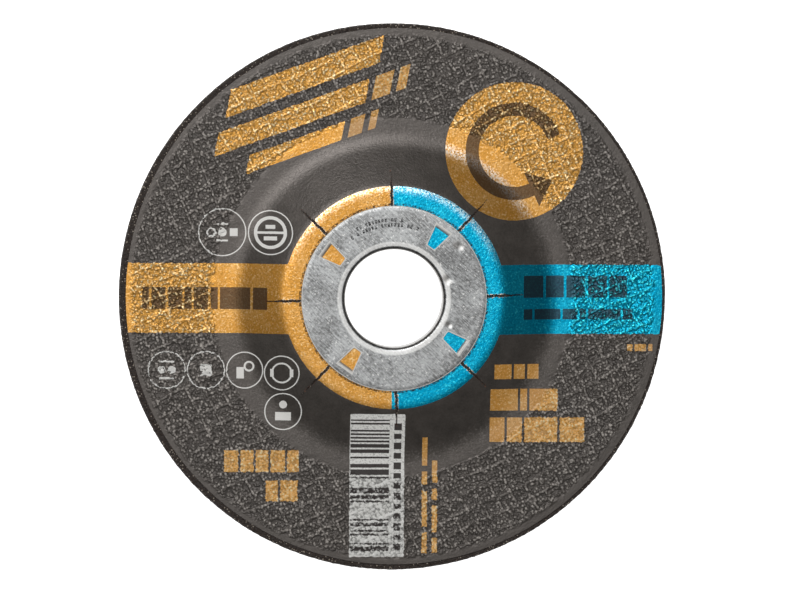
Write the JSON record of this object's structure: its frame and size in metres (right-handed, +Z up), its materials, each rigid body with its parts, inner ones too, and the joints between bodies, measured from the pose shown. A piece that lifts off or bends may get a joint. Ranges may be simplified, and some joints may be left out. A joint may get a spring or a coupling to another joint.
{
  "type": "depressed-centre grinding disc",
  "caption": "Round resin-bonded grinding disc with a raised hub, a steel-lined bore and a printed paper label.",
  "frame": {"origin": "middle of the working face, which the disc lies on, on the axis of the bore", "axes": "+Z up along the bore, from the working face to the label side; +X to the right of the label's print"},
  "size_m": [0.125, 0.125, 0.0111],
  "materials": {
    "abrasive": "coarse resin-bonded grain",
    "steel": "tinned sheet, dull and mottled",
    "label_paper": "dark grey print, satin, pressed over a glass net",
    "orange_ink": "orange print, satin",
    "blue_ink": "blue print, satin",
    "silver_ink": "pale silver print, satin"
  },
  "bodies": {
    "root": {"wheel_body": "abrasive", "hub_ring": "steel", "label": "label_paper", "orange_print": "orange_ink", "blue_print": "blue_ink", "silver_print": "silver_ink"}
  },
  "joints": []
}
